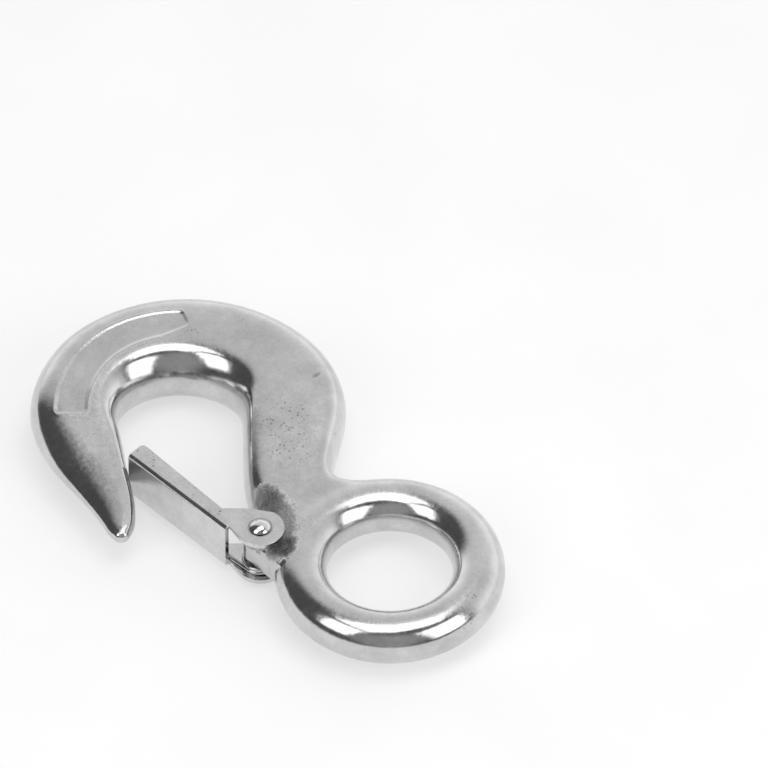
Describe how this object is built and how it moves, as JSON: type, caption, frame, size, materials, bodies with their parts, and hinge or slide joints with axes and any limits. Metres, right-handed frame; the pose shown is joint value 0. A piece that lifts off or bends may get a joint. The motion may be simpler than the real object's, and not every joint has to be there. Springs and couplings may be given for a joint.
{
  "type": "safety chain hook",
  "caption": "Forged eye slip hook with a sprung sheet-metal latch across its throat, for the end of a trailer safety chain.",
  "frame": {"origin": "centre of the eye, on the hook's mid-plane", "axes": "+Y along the load line from the eye to the bowl, +Z along the thickness, up when the hook lies flat; the tip, throat and latch are on the -X side"},
  "size_m": [0.0624, 0.1099, 0.0148],
  "materials": {
    "forged_stainless": "drop forged stainless steel, tumbled and polished, faint mottling and small pits",
    "sheet_stainless": "smooth rolled stainless sheet with a bright fold and cut edges",
    "rivet_stainless": "polished domed rivet",
    "spring_wire": "bright drawn spring wire"
  },
  "bodies": {
    "hook": {"hook_body": "forged_stainless"},
    "latch": {"latch": "sheet_stainless", "latch_pin": "rivet_stainless", "latch_spring": "spring_wire"}
  },
  "joints": [
    {"name": "latch_hinge", "type": "hinge", "parent": "hook", "child": "latch", "pos_m": [-0.0143, 0.0221, 0], "axis": [0, 0, -1], "range_deg": [0, 38], "stiffness_Nm_per_rad": 0.06, "springref_deg": -45.84, "deforming": ["latch_spring"]}
  ]
}
